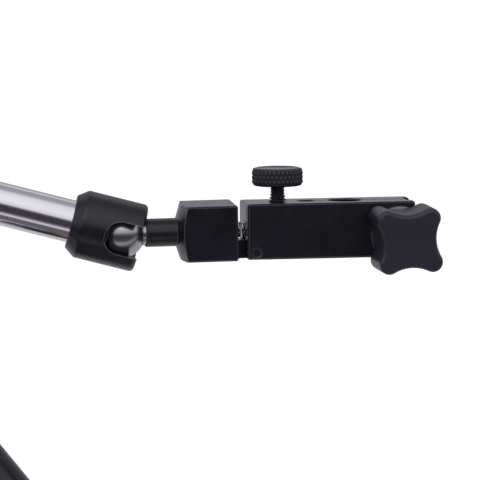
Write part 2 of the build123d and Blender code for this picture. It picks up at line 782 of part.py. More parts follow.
def clamp_body():
    """Square clamp bar: tongue slot, two split clamping holes, lock bolt hole and end dovetail."""
    with BuildPart() as clamp:
        with BuildSketch(endways(CLAMP, 0, 0)):
            Rectangle(BAR, BAR)
        extrude(amount=CLAMP_LENGTH)
        chamfer(clamp.edges(), BAR_EDGE)
        with BuildSketch(upright(CLAMP, SMALL_HOLE_AT, BAR / 2)):
            Circle(SMALL_HOLE_R)
            with Locations((LARGE_HOLE_AT - SMALL_HOLE_AT, 0)):
                Circle(LARGE_HOLE_R)
            with Locations((ADJUST_AT - SMALL_HOLE_AT, 0)):
                Circle(THREAD_R + FIT)
        extrude(amount=-BAR, mode=Mode.SUBTRACT)
        chamfer(clamp.edges(Select.LAST).filter_by(GeomType.CIRCLE), HOLE_EDGE)
        with BuildSketch(upright(CLAMP, SMALL_HOLE_AT, BAR / 2)):
            with Locations(((CLAMP_LENGTH - SMALL_HOLE_AT + 1) / 2, 0)):
                Rectangle(CLAMP_LENGTH - SMALL_HOLE_AT + 1, SLIT)
        extrude(amount=-BAR, mode=Mode.SUBTRACT)
        with BuildSketch(upright(CLAMP, CLAMP_LENGTH, BAR / 2)):
            Polygon(
                (0.5, -DOVETAIL_MOUTH + 0.3),
                (0.5, DOVETAIL_MOUTH - 0.3),
                (-DOVETAIL_DEPTH, DOVETAIL_BASE),
                (-DOVETAIL_DEPTH, -DOVETAIL_BASE),
                align=None,
            )
        extrude(amount=-BAR, mode=Mode.SUBTRACT)
        with BuildSketch(CLAMP):
            with Locations((SLOT_END / 2 - 0.5, (SLOT_TOP - BAR / 2) / 2 - 0.5)):
                Rectangle(SLOT_END + 1, SLOT_TOP + BAR / 2 + 1)
        extrude(amount=TONGUE_WIDTH / 2 + SLOT_SIDE, both=True, mode=Mode.SUBTRACT)
        with BuildSketch(endways(CLAMP, 0, SPRING_HEIGHT)):
            Circle(POCKET_R)
        extrude(amount=POCKET_DEPTH, mode=Mode.SUBTRACT)
        with BuildSketch(CLAMP_PIN):
            Circle(PIVOT_R)
        extrude(amount=BAR, both=True, mode=Mode.SUBTRACT)
        mouths = clamp.edges(Select.LAST).filter_by(GeomType.CIRCLE)
        chamfer(mouths.sort_by(Axis.Y)[0], PIVOT_HOLE_EDGE)
        mouths = clamp.edges().filter_by(GeomType.CIRCLE).filter_by(on_pivot_hole)
        chamfer(mouths.sort_by(Axis.Y)[-1], PIVOT_HOLE_EDGE)
        with BuildSketch(crosswise(CLAMP, CLAMP_BOLT_AT, -CLAMP_BOLT_DROP)):
            Circle(BOLT_CLEARANCE_R)
        extrude(amount=BAR / 2, mode=Mode.SUBTRACT)
        with BuildSketch(crosswise(CLAMP, CLAMP_BOLT_AT, -CLAMP_BOLT_DROP)):
            Circle(THREAD_R + FIT)
        extrude(amount=-BAR / 2, mode=Mode.SUBTRACT)
    return clamp


save(clamp_body(), "clamp_body")


def pivot_pin():
    """Steel pin through the clamp's cheeks and the block's tongue."""
    with BuildPart() as pin:
        with BuildSketch(CLAMP_PIN):
            Circle(PIVOT_R)
        extrude(amount=BAR / 2 - PIVOT_RECESS, both=True)
        chamfer(pin.edges().filter_by(GeomType.CIRCLE), PIVOT_PIN_EDGE)
    return pin


save(pivot_pin(), "pivot_pin")


# ---- head: fine-adjust screw ----
tongue_rise = TONGUE_TOP - pivot_height
tongue_under_screw = tongue_rise / cos(droop) + (ADJUST_AT - PIVOT_INSET) * tan(droop)
TIP_GAP = 0.02
pad_tip = pivot_height + tongue_under_screw + TIP_GAP
TIP_R = 1.4
TIP_LONG = 1.5
TIP_DOME = 0.45
# The screw's axis, pointing up from the middle of the clamp bar.
adjust_point = CLAMP.from_local_coords((ADJUST_AT, 0, 0))
ADJUST_AXLE = Plane(origin=adjust_point, x_dir=CLAMP.y_dir, z_dir=CLAMP.z_dir)
HEAD_UNDER = BAR / 2 + THUMB_STANDOFF


def adjust_tip_pad():
    """Domed pad under the screw that bears on the tongue."""
    arc_r = (TIP_R**2 + TIP_DOME**2) / (2 * TIP_DOME)
    half = asin(TIP_R / arc_r) / 2
    middle = (pad_tip + arc_r * (1 - cos(half)), arc_r * sin(half))
    rim = (pad_tip + TIP_DOME, TIP_R)
    back = pad_tip + TIP_LONG
    with BuildPart() as pad:
        with BuildSketch(ADJUST_AXLE):
            with BuildLine():
                ThreePointArc((pad_tip, 0), middle, rim)
                Polyline(rim, (back, TIP_R), (back, 0), (pad_tip, 0))
            make_face()
        revolve(axis=along(ADJUST_AXLE))
    return pad


save(adjust_tip_pad(), "adjust_tip_pad")
save(
    turned(
        ADJUST_AXLE,
        [
            (pad_tip + TIP_LONG, 0),
            (pad_tip + TIP_LONG, THREAD_R),
            (HEAD_UNDER, THREAD_R),
            (HEAD_UNDER, 0),
        ],
    ),
    "adjust_screw_shank",
)
EDGE = THUMB_R - THUMB_TOP_R
save(
    turned(
        ADJUST_AXLE,
        [
            (HEAD_UNDER, 0),
            (HEAD_UNDER, THUMB_TOP_R),
            (HEAD_UNDER + 0.3 * EDGE, THUMB_R - 0.3 * EDGE),
            (HEAD_UNDER + EDGE, THUMB_R),
            (HEAD_UNDER + THUMB_THICK - EDGE, THUMB_R),
            (HEAD_UNDER + THUMB_THICK - 0.3 * EDGE, THUMB_R - 0.3 * EDGE),
            (HEAD_UNDER + THUMB_THICK, THUMB_TOP_R),
            (HEAD_UNDER + THUMB_THICK, 0),
        ],
    ),
    "adjust_screw_head",
)


# ---- head: clamp knob ----
bolt_point = CLAMP.from_local_coords((CLAMP_BOLT_AT, -CLAMP_BOLT_DROP, 0))
CLAMP_BOLT = Plane(origin=bolt_point, x_dir=CLAMP.z_dir, z_dir=CLAMP.x_dir)
KNOB_START = BAR / 2 + KNOB_GAP
KNOB_ROUND = 1.0
BOLT_INSET = 0.6
CLAMP_WASHER_R = 6.9
CLAMP_INSERT_R = 3.2
CLAMP_INSERT_LONG = 9.0
CLAMP_BOLT_END = KNOB_START + CLAMP_INSERT_LONG
save(washer(CLAMP_BOLT, BAR / 2 + 0.01, KNOB_START - 0.2, THREAD_R + FIT, CLAMP_WASHER_R), "clamp_washer")
save(
    turned(
        CLAMP_BOLT,
        [
            (BOLT_INSET - BAR / 2, 0),
            (BOLT_INSET - BAR / 2, THREAD_R),
            (CLAMP_BOLT_END, THREAD_R),
            (CLAMP_BOLT_END, 0),
        ],
    ),
    "clamp_bolt",
)
save(washer(CLAMP_BOLT, KNOB_START - 0.1, CLAMP_BOLT_END, THREAD_R, CLAMP_INSERT_R), "clamp_knob_insert")


def star_knob():
    """Four-lobed plastic knob; its lobes and waists meet in tangent arcs."""
    lobe_at = KNOB_REACH - KNOB_LOBE_R
    waist_gap = KNOB_WAIST - lobe_at
    waist_r = (waist_gap**2 + lobe_at**2 - KNOB_LOBE_R**2) / (2 * (KNOB_LOBE_R - waist_gap))
    waist_at = KNOB_WAIST + waist_r
    back = crosswise(CLAMP, CLAMP_BOLT_AT, -CLAMP_BOLT_DROP, KNOB_START)
    with BuildPart() as knob:
        with BuildSketch(back):
            with PolarLocations(0, 4, start_angle=KNOB_TURN):
                Polygon((0, 0), (lobe_at, -lobe_at), (waist_at, 0), (lobe_at, lobe_at), align=None)
            with PolarLocations(lobe_at * sqrt(2), 4, start_angle=45 + KNOB_TURN):
                Circle(KNOB_LOBE_R)
            with PolarLocations(waist_at, 4, start_angle=KNOB_TURN):
                Circle(waist_r, mode=Mode.SUBTRACT)
        extrude(amount=KNOB_THICK)
        front = knob.faces().sort_by(Axis(back.origin, back.z_dir))
        fillet(front[-1].edges() + front[0].edges(), KNOB_ROUND)
        with BuildSketch(back):
            Circle(CLAMP_INSERT_R)
        extrude(amount=CLAMP_INSERT_LONG, mode=Mode.SUBTRACT)
    return knob


save(star_knob(), "clamp_star_knob")
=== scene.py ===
import json
import math

import bmesh
import bpy
from mathutils import Matrix, Vector


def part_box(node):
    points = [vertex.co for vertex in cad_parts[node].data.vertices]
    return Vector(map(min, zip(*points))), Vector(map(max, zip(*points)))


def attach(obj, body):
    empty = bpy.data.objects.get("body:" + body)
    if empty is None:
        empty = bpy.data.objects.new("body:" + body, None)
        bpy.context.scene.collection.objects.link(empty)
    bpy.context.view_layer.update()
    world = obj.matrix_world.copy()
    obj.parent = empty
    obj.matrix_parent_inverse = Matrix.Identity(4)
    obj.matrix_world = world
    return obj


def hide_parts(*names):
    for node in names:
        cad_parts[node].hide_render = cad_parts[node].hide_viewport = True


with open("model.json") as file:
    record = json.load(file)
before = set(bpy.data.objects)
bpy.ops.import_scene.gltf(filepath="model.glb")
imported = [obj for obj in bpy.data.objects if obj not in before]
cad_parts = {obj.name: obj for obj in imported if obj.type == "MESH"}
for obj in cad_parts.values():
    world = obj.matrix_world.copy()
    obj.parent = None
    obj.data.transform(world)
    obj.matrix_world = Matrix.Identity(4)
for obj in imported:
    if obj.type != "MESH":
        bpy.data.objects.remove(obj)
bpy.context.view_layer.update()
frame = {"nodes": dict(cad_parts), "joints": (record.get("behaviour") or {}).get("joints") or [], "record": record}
JOINTS = {joint["name"]: joint for joint in frame["joints"]}
NODES = frame["nodes"]
MM = 0.001
WHITE = (1.0, 1.0, 1.0)
BLACK = (0.0, 0.0, 0.0)


# ---- places read from the frame ----
def joint_point(name):
    """Where a hinge's axis passes, at rest."""
    return Vector(JOINTS[name]["pos_m"])


def joint_axis(name):
    """Direction of a joint's axis at rest."""
    return Vector(JOINTS[name]["axis"]).normalized()


upper_ball = joint_point("upper_ball_lean")
arm_dir = joint_axis("upper_ball_swing")
head_dir = joint_axis("head_roll")
head_front = joint_axis("fine_tilt")
head_up = head_front.cross(head_dir).normalized()
clamp_up = joint_axis("adjust_turn")
clamp_front = joint_axis("clamp_knob_turn")
clamp_dir = clamp_up.cross(clamp_front).normalized()


def frame_of(origin, x_axis, z_axis):
    """Matrix that puts local x and z along the given directions at the origin."""
    z = z_axis.normalized()
    x = (x_axis - z * x_axis.dot(z)).normalized()
    matrix = Matrix((x, z.cross(x), z)).transposed().to_4x4()
    matrix.translation = origin
    return matrix


def span_along(node, origin, direction):
    """Lowest and highest distance of a node's points from the origin along a direction."""
    reach = [(v.co - origin).dot(direction) for v in NODES[node].data.vertices]
    return min(reach), max(reach)


# ---- camera ----
PICTURE = 480
# Picture units to a metre, at the ball's distance.
SCALE = 4.3 / MM
DISTANCE = 2.0
AZIMUTH = math.radians(-2.0)
ELEVATION = math.radians(4.8)
SENSOR_MM = 36
CLIP_NEAR = 0.05
CLIP_FAR = 50
# Where the ball lies from the middle of the view, to the right and up.
BALL_OFFSET_X = -27.7 * MM
BALL_OFFSET_Y = 1.46 * MM


def make_camera():
    """Long lens in front of the head, level with it and a little above."""
    back = Vector(
        (
            math.sin(AZIMUTH) * math.cos(ELEVATION),
            -math.cos(AZIMUTH) * math.cos(ELEVATION),
            math.sin(ELEVATION),
        )
    )
    turn = (-back).to_track_quat("-Z", "Y")
    right = turn @ Vector((1, 0, 0))
    up = turn @ Vector((0, 1, 0))
    target = upper_ball - right * BALL_OFFSET_X - up * BALL_OFFSET_Y
    data = bpy.data.cameras.new("camera")
    data.sensor_width = SENSOR_MM
    data.lens = SENSOR_MM * DISTANCE * SCALE / PICTURE
    data.clip_start = CLIP_NEAR
    data.clip_end = CLIP_FAR
    camera = bpy.data.objects.new("camera", data)
    camera.rotation_mode = "QUATERNION"
    camera.rotation_quaternion = turn
    camera.location = target + back * DISTANCE
    bpy.context.scene.collection.objects.link(camera)
    bpy.context.scene.camera = camera


# ---- floor and light ----
FLOOR_HALF = 12.0
FLOOR_CLOUD = (40, 3, 0.5)
FLOOR_SHADES = ((0.3, (0.86, 0.86, 0.87)), (0.7, (0.9, 0.9, 0.9)))
FLOOR_GLOW = 0.45
FLOOR_ROUGH = 0.9

# Cards on the floor from front to back: near and far edge in y, and brightness.
FLOOR_CARDS = (
    (-9.0, -0.2, (0.062, 0.054, 0.064)),
    (-0.2, -0.151, (0.2, 0.18, 0.2)),
    (-0.151, -0.1, (0.66, 0.65, 0.7)),
    (-0.1, -0.03, (0.15, 0.14, 0.16)),
    (-0.03, 9.0, (0.64, 0.63, 0.68)),
)
CARD_REACH = 9.0
CARD_RISE = 0.0005
CARD_CLOUD = (60, 3, 0.5)
CARD_DEEPEST = 0.94

# Brightness of the surroundings by height, from the horizon (0) to overhead (1).
WORLD_FRONT = (
    (0.0, (0.06, 0.055, 0.068)),
    (0.07, (0.2, 0.2, 0.23)),
    (0.17, (0.82, 0.81, 0.87)),
    (0.5, (1.0, 1.0, 1.05)),
    (0.93, (0.9, 0.9, 0.95)),
    (0.975, (0.42, 0.42, 0.45)),
    (1.0, (0.39, 0.39, 0.42)),
)
WORLD_BACK = (
    (0.0, (0.68, 0.67, 0.73)),
    (0.15, (0.55, 0.54, 0.6)),
    (0.4, (0.4, 0.4, 0.44)),
    (1.0, (0.39, 0.39, 0.42)),
)
WORLD_BLEND = 0.15

SOFTBOX_PLACE = (-0.3, -1.0, 1.2)
SOFTBOX_SIZE = (1.2, 0.9)
SOFTBOX_POWER = 2.5
SOFTBOX_COLOUR = (0.97, 0.97, 1.0)
BACKLIGHT_PLACE = (0.2, 2.2, 2.6)
BACKLIGHT_AIM = Vector((0, 2.6, 0))
BACKLIGHT_SIZE = (3.5, 2.0)
BACKLIGHT_POWER = 6


def area_light(name, place, aim, size, power, colour=WHITE):
    """Soft rectangular light aimed at a point."""
    data = bpy.data.lights.new(name, "AREA")
    data.shape = "RECTANGLE"
    data.size, data.size_y = size
    data.energy = power
    data.color = colour
    light = bpy.data.objects.new(name, data)
    light.location = place
    light.rotation_mode = "QUATERNION"
    light.rotation_quaternion = (aim - Vector(place)).to_track_quat("-Z", "Y")
    bpy.context.scene.collection.objects.link(light)


def flat_sheet(name, reach, near, far, height, material):
    """Level rectangle between two places in y, as wide as reach on each side."""
    corners = [(-reach, near), (reach, near), (reach, far), (-reach, far)]
    mesh = bpy.data.meshes.new(name)
    mesh.from_pydata([(x, y, height) for x, y in corners], [], [(0, 1, 2, 3)])
    mesh.materials.append(material)
    sheet = bpy.data.objects.new(name, mesh)
    bpy.context.scene.collection.objects.link(sheet)
    return sheet


def floor_material():
    """Matt white paper, lit a little from within so that it stays even."""
    material, tree, shader = new_material("studio_floor")
    shade = add_ramp(tree, add_noise(tree, FLOOR_CLOUD), FLOOR_SHADES)
    tree.links.new(shade, shader.inputs["Base Color"])
    tree.links.new(shade, shader.inputs["Emission Color"])
    shader.inputs["Emission Strength"].default_value = FLOOR_GLOW
    shader.inputs["Roughness"].default_value = FLOOR_ROUGH
    return material


def make_floor():
    """Plain pale floor under the base."""
    floor = flat_sheet("floor", FLOOR_HALF, -FLOOR_HALF, FLOOR_HALF, 0, floor_material())


def card_material(name, shade):
    """Glowing card with no gloss or colour of its own."""
    material, tree, shader = new_material(name)
    deep = tuple(CARD_DEEPEST * value for value in shade)
    glow = add_ramp(tree, add_noise(tree, CARD_CLOUD), ((0.3, deep), (0.7, shade)))
    tree.links.new(glow, shader.inputs["Emission Color"])
    shader.inputs["Emission Strength"].default_value = 1.0
    shader.inputs["Base Color"].default_value = (*BLACK, 1)
    shader.inputs["Specular IOR Level"].default_value = 0.0
    return material


def make_floor_cards():
    """Dark and pale cards lying on the floor, seen only in the object's glossy reflections."""
    for count, (near, far, shade) in enumerate(FLOOR_CARDS):
        name = f"floor_card_{count}"
        card = flat_sheet(name, CARD_REACH, near, far, CARD_RISE, card_material(name, shade))
        card.visible_camera = False
        card.visible_diffuse = False
        card.visible_shadow = False
        card.visible_transmission = False


def make_world():
    """Studio surroundings, grey overhead; the camera itself sees plain white.

    In front they are dark at the horizon and bright above it, and behind they are palest there.
    """
    world = bpy.data.worlds.new("studio")
    bpy.context.scene.world = world
    world.use_nodes = True
    tree = world.node_tree
    background = tree.nodes["Background"]
    coords = tree.nodes.new("ShaderNodeTexCoord")
    split = tree.nodes.new("ShaderNodeSeparateXYZ")
    tree.links.new(coords.outputs["Generated"], split.inputs[0])
    front = add_ramp(tree, split.outputs["Z"], WORLD_FRONT)
    rear = add_ramp(tree, split.outputs["Z"], WORLD_BACK)
    blend = tree.nodes.new("ShaderNodeMapRange")
    blend.inputs["From Min"].default_value = -WORLD_BLEND
    blend.inputs["From Max"].default_value = WORLD_BLEND
    tree.links.new(split.outputs["Y"], blend.inputs["Value"])
    around = mix_colour(tree, blend.outputs["Result"], front, rear)
    path = tree.nodes.new("ShaderNodeLightPath")
    seen = mix_colour(tree, path.outputs["Is Camera Ray"], around, WHITE)
    tree.links.new(seen, background.inputs["Color"])
    background.inputs["Strength"].default_value = 1.0


# ---- material helpers ----
# Noise settings are (scale, detail, roughness), with the scale in cells per metre.
EDGE_SAMPLES = 6
# Cosine between the rounded and the true normal: open surface, and full edge.
EDGE_OPEN = 0.995
EDGE_FULL = 0.85


def new_material(name):
    """New node material; returns it with its tree and shader."""
    material = bpy.data.materials.new(name)
    material.use_nodes = True
    tree = material.node_tree
    return material, tree, tree.nodes["Principled BSDF"]


def add_coords(tree, stretch=(1, 1, 1), turn=None):
    """Object coordinates, scaled per axis, first turned by Euler angles where given."""
    coords = tree.nodes.new("ShaderNodeTexCoord")
    mapping = tree.nodes.new("ShaderNodeMapping")
    mapping.vector_type = "POINT"
    mapping.inputs["Scale"].default_value = stretch
    source = coords.outputs["Object"]
    if turn is not None:
        spin = tree.nodes.new("ShaderNodeVectorRotate")
        spin.rotation_type = "EULER_XYZ"
        spin.inputs["Rotation"].default_value = turn
        tree.links.new(source, spin.inputs["Vector"])
        source = spin.outputs["Vector"]
    tree.links.new(source, mapping.inputs["Vector"])
    return mapping.outputs["Vector"]


def add_noise(tree, settings, vector=None):
    """Noise value; its vector defaults to object coordinates."""
    noise = tree.nodes.new("ShaderNodeTexNoise")
    for name, value in zip(("Scale", "Detail", "Roughness"), settings):
        noise.inputs[name].default_value = value
    tree.links.new(vector if vector is not None else add_coords(tree), noise.inputs["Vector"])
    return noise.outputs["Fac"]


def add_ramp(tree, value, stops):
    """Colour from a value through a ramp of (position, colour) stops."""
    ramp = tree.nodes.new("ShaderNodeValToRGB")
    elements = ramp.color_ramp.elements
    while len(elements) < len(stops):
        elements.new(0.5)
    for element, (position, colour) in zip(elements, stops):
        element.position = position
        element.color = (*colour, 1)
    tree.links.new(value, ramp.inputs["Fac"])
    return ramp.outputs["Color"]


def add_range(tree, value, limits):
    """Maps a 0 to 1 value onto low to high."""
    node = tree.nodes.new("ShaderNodeMapRange")
    node.inputs["To Min"].default_value, node.inputs["To Max"].default_value = limits
    tree.links.new(value, node.inputs["Value"])
    return node.outputs["Result"]


def add_tint(tree, shader, settings, stops):
    """Base colour that varies by a noise."""
    tree.links.new(add_ramp(tree, add_noise(tree, settings), stops), shader.inputs["Base Color"])


def add_rough(tree, shader, value, limits):
    """Roughness between two limits by a 0 to 1 value."""
    tree.links.new(add_range(tree, value, limits), shader.inputs["Roughness"])


def add_bump(tree, shader, height, distance, strength):
    """Bump from a height value."""
    bump = tree.nodes.new("ShaderNodeBump")
    bump.inputs["Distance"].default_value = distance
    bump.inputs["Strength"].default_value = strength
    tree.links.new(height, bump.inputs["Height"])
    tree.links.new(bump.outputs["Normal"], shader.inputs["Normal"])


def add_edge_mask(tree, radius):
    """1 along sharp edges, 0 on open surfaces."""
    bevel = tree.nodes.new("ShaderNodeBevel")
    bevel.samples = EDGE_SAMPLES
    bevel.inputs["Radius"].default_value = radius
    geometry = tree.nodes.new("ShaderNodeNewGeometry")
    dot = tree.nodes.new("ShaderNodeVectorMath")
    dot.operation = "DOT_PRODUCT"
    tree.links.new(bevel.outputs["Normal"], dot.inputs[0])
    tree.links.new(geometry.outputs["Normal"], dot.inputs[1])
    fall = tree.nodes.new("ShaderNodeMapRange")
    fall.inputs["From Min"].default_value = EDGE_OPEN
    fall.inputs["From Max"].default_value = EDGE_FULL
    tree.links.new(dot.outputs["Value"], fall.inputs["Value"])
    return fall.outputs["Result"]


def mix_colour(tree, factor, colour_a, colour_b):
    """Colour a to colour b by a factor; each is a socket or a plain colour."""
    mix = tree.nodes.new("ShaderNodeMix")
    mix.data_type = "RGBA"
    tree.links.new(factor, mix.inputs["Factor"])
    for name, colour in (("A", colour_a), ("B", colour_b)):
        if isinstance(colour, tuple):
            mix.inputs[name].default_value = (*colour, 1)
        else:
            tree.links.new(colour, mix.inputs[name])
    return mix.outputs["Result"]


def add_edge_wear_and_highlight(tree, shader, skin, radius, settings, limits, bare_and_highlight):
    """Base colour: a skin worn unevenly to a paler colour along sharp edges, which stands for edge wear and, on
    the blackened steel, also for a painted edge highlight.
    """
    wear_and_highlight = tree.nodes.new("ShaderNodeMath")
    wear_and_highlight.operation = "MULTIPLY"
    tree.links.new(add_edge_mask(tree, radius), wear_and_highlight.inputs[0])
    tree.links.new(add_range(tree, add_noise(tree, settings), limits), wear_and_highlight.inputs[1])
    tree.links.new(mix_colour(tree, wear_and_highlight.outputs[0], skin, bare_and_highlight), shader.inputs["Base Color"])


# ---- materials ----
OXIDE_PATCHES = (160, 4, 0.55)
OXIDE_SKIN = ((0.32, (0.0042, 0.0045, 0.0075)), (0.7, (0.0072, 0.0077, 0.0125)))
# Paler edges: partly wear to bare steel, partly a painted highlight where the chamfers would catch light.
OXIDE_EDGE = 0.25 * MM
OXIDE_WEAR_HIGHLIGHT_NOISE = (900, 3, 0.6)
OXIDE_WEAR_HIGHLIGHT_LIMITS = (0.2, 1.0)
OXIDE_BARE_AND_HIGHLIGHT = (0.2, 0.2, 0.24)
OXIDE_SMEARS = (350, 5, 0.6)
OXIDE_ROUGH = (0.18, 0.34)
OXIDE_IOR = 1.45
OXIDE_GRAIN = (5200, 2, 0.6)
OXIDE_BUMP = (0.008 * MM, 0.35)

STEEL_LINES = (1.0, 3, 0.6)
STEEL_STRETCH = (9000, 500, 500)
STEEL_CLOUD = (60, 3, 0.5)
STEEL_TINTS = ((0.3, (0.70, 0.69, 0.71)), (0.7, (0.77, 0.76, 0.79)))
STEEL_ROUGH = (0.06, 0.15)
STEEL_BUMP = (0.002 * MM, 0.25)
BALL_TINTS = ((0.3, (0.36, 0.36, 0.37)), (0.7, (0.46, 0.46, 0.47)))
BALL_ROUGH = (0.21, 0.3)

ZINC_CLOUD = (240, 4, 0.6)
ZINC_TINTS = ((0.3, (0.5, 0.5, 0.52)), (0.72, (0.64, 0.64, 0.66)))
ZINC_SMEARS = (900, 3, 0.6)
ZINC_ROUGH = (0.22, 0.4)
ZINC_LINES = (1, 2, 0.5)
ZINC_STRETCH = (600, 6000, 600)
ZINC_BUMP = (0.004 * MM, 0.3)

BRASS_CLOUD = (130, 4, 0.6)
BRASS_TINTS = ((0.3, (0.52, 0.36, 0.14)), (0.7, (0.72, 0.53, 0.25)))
BRASS_SMEARS = (700, 3, 0.5)
BRASS_ROUGH = (0.2, 0.38)
BRASS_GRAIN = (3000, 2, 0.5)
BRASS_BUMP = (0.004 * MM, 0.3)

PLASTIC_CLOUD = (120, 3, 0.5)
PLASTIC_SMEARS = (500, 4, 0.6)
PLASTIC_GRAIN = (3800, 3, 0.65)
PLASTIC_BUMP_STRENGTH = 0.5
# Each plastic: its darker and lighter tint, roughness limits, and depth of grain.
PLASTICS = {
    "black_plastic": (
        (0.0085, 0.0085, 0.0185),
        (0.0115, 0.0115, 0.0245),
        (0.36, 0.48),
        0.012 * MM,
    ),
    "dial_plastic": ((0.33, 0.012, 0.01), (0.42, 0.02, 0.014), (0.24, 0.36), 0.006 * MM),
    "white_mark": ((0.72, 0.72, 0.7), (0.82, 0.82, 0.8), (0.34, 0.46), 0.006 * MM),
    "ferrite": ((0.06, 0.06, 0.065), (0.09, 0.09, 0.095), (0.39, 0.51), 0.01 * MM),
}

ENAMEL_CLOUD = (70, 4, 0.5)
ENAMEL_SKIN = ((0.3, (0.05, 0.055, 0.065)), (0.7, (0.075, 0.08, 0.095)))
ENAMEL_EDGE = 0.4 * MM
ENAMEL_WEAR = (420, 4, 0.6)
ENAMEL_WORN = (0.0, 0.8)
ENAMEL_BARE = (0.35, 0.35, 0.36)
ENAMEL_ROUGH = (0.28, 0.4)
ENAMEL_COAT = 0.3
ENAMEL_COAT_ROUGH = 0.2
ENAMEL_PEEL = (900, 2, 0.5)
ENAMEL_BUMP = (0.02 * MM, 0.3)


def black_oxide(name):
    """Blackened steel: near-black skin over ground metal, a little brighter along its edges, partly as wear and
    partly as a painted highlight where the edges would catch light.
    """
    material, tree, shader = new_material(name)
    skin = add_ramp(tree, add_noise(tree, OXIDE_PATCHES), OXIDE_SKIN)
    add_edge_wear_and_highlight(tree, shader, skin, OXIDE_EDGE, OXIDE_WEAR_HIGHLIGHT_NOISE, OXIDE_WEAR_HIGHLIGHT_LIMITS, OXIDE_BARE_AND_HIGHLIGHT)
    add_rough(tree, shader, add_noise(tree, OXIDE_SMEARS), OXIDE_ROUGH)
    shader.inputs["Metallic"].default_value = 0.0
    shader.inputs["IOR"].default_value = OXIDE_IOR
    add_bump(tree, shader, add_noise(tree, OXIDE_GRAIN), *OXIDE_BUMP)
    return material


def polished_steel(name, turn=None, rough=STEEL_ROUGH, tints=STEEL_TINTS):
    """Bright polished steel with faint grinding lines round the piece."""
    material, tree, shader = new_material(name)
    lines = add_noise(tree, STEEL_LINES, add_coords(tree, STEEL_STRETCH, turn))
    add_tint(tree, shader, STEEL_CLOUD, tints)
    shader.inputs["Metallic"].default_value = 1.0
    add_rough(tree, shader, lines, rough)
    add_bump(tree, shader, lines, *STEEL_BUMP)
    return material


def brushed_zinc(name):
    """Pale zinc-plated steel."""
    material, tree, shader = new_material(name)
    add_tint(tree, shader, ZINC_CLOUD, ZINC_TINTS)
    shader.inputs["Metallic"].default_value = 1.0
    add_rough(tree, shader, add_noise(tree, ZINC_SMEARS), ZINC_ROUGH)
    lines = add_noise(tree, ZINC_LINES, add_coords(tree, ZINC_STRETCH))
    add_bump(tree, shader, lines, *ZINC_BUMP)
    return material


def machined_brass(name):
    """Turned brass with slight tarnish."""
    material, tree, shader = new_material(name)
    add_tint(tree, shader, BRASS_CLOUD, BRASS_TINTS)
    shader.inputs["Metallic"].default_value = 1.0
    add_rough(tree, shader, add_noise(tree, BRASS_SMEARS), BRASS_ROUGH)
    add_bump(tree, shader, add_noise(tree, BRASS_GRAIN), *BRASS_BUMP)
    return material


def moulded_plastic(name, dark, light, rough, grain):
    """Moulded plastic with a fine grain."""
    material, tree, shader = new_material(name)
    add_tint(tree, shader, PLASTIC_CLOUD, ((0.3, dark), (0.7, light)))
    add_rough(tree, shader, add_noise(tree, PLASTIC_SMEARS), rough)
    add_bump(tree, shader, add_noise(tree, PLASTIC_GRAIN), grain, PLASTIC_BUMP_STRENGTH)
    return material


def base_enamel(name):
    """Satin dark enamel over the base's steel, with a light orange-peel and worn edges."""
    material, tree, shader = new_material(name)
    cloud = add_noise(tree, ENAMEL_CLOUD)
    skin = add_ramp(tree, cloud, ENAMEL_SKIN)
    add_edge_wear_and_highlight(tree, shader, skin, ENAMEL_EDGE, ENAMEL_WEAR, ENAMEL_WORN, ENAMEL_BARE)
    add_rough(tree, shader, cloud, ENAMEL_ROUGH)
    shader.inputs["Coat Weight"].default_value = ENAMEL_COAT
    shader.inputs["Coat Roughness"].default_value = ENAMEL_COAT_ROUGH
    add_bump(tree, shader, add_noise(tree, ENAMEL_PEEL), *ENAMEL_BUMP)
    return material


def assign(node, material):
    """Gives a CAD node its material."""
    mesh = NODES[node].data
    mesh.materials.clear()
    mesh.materials.append(material)


def arm_turn(direction):
    """Euler turn that brings an arm's direction onto x, for its grinding lines."""
    return direction.rotation_difference(Vector((1, 0, 0))).to_euler("XYZ")


def dress_nodes():
    """A material for every CAD node, by its slot in the record; returns them by slot."""
    finishes = {
        "black_steel": black_oxide("black_steel"),
        "polished_steel": polished_steel("polished_steel"),
        "base_enamel": base_enamel("base_enamel"),
        "brass": machined_brass("brass"),
        "zinc_steel": brushed_zinc("zinc_steel"),
    }
    for name, values in PLASTICS.items():
        finishes[name] = moulded_plastic(name, *values)
    for part in frame["record"]["subparts"]:
        assign(part["node"], finishes[part["material_slot"]])
    lower_dir = (joint_point("lower_lean") - joint_point("elbow_knob_turn")).normalized()
    assign("upper_tube", polished_steel("upper_tube_steel", arm_turn(arm_dir)))
    assign("lower_tube", polished_steel("lower_tube_steel", arm_turn(lower_dir)))
    ball = polished_steel("ball_steel", None, BALL_ROUGH, BALL_TINTS)
    assign("upper_ball_stud", ball)
    assign("lower_ball_stud", ball)
    return finishes


# ---- detailed pieces ----
THREAD_R = 2.0 * MM
THREAD_ROOT_R = 1.5 * MM
THREAD_PITCH = 0.7 * MM
THREAD_NECK_R = 1.66 * MM
# Heights above the bar between which the crests run out into the neck.
RUN_OUT_START = 0.6 * MM
RUN_OUT_END = 1.9 * MM
THREAD_TIP = 0.8
THREAD_CHAMFER = 0.2 * MM
THREAD_ROWS = 12
THREAD_SIDES = 48
# A groove's width as a share of the pitch, and how far its flanks would pass the root.
GROOVE_WIDTH = 0.8
GROOVE_DEPTH = 1.25

HEAD_R = 6.0 * MM
HEAD_FLAT_R = 5.05 * MM
HEAD_NECK_R = 2.6 * MM
HEAD_FLAT_EDGE = 0.1 * MM
HEAD_BEND_ROWS = 14
HEAD_RIM_ROWS = 26
DISH_DEPTH = 0.15 * MM
DISH_LIP = 0.15 * MM
DISH_EDGE = 0.45 * MM
DISH_MIDDLE_R = 0.6 * MM
KNURL_TEETH = 34
KNURL_DEPTH = 0.34 * MM
KNURL_LEAD = 2.0 * MM
KNURL_SIDES = 10

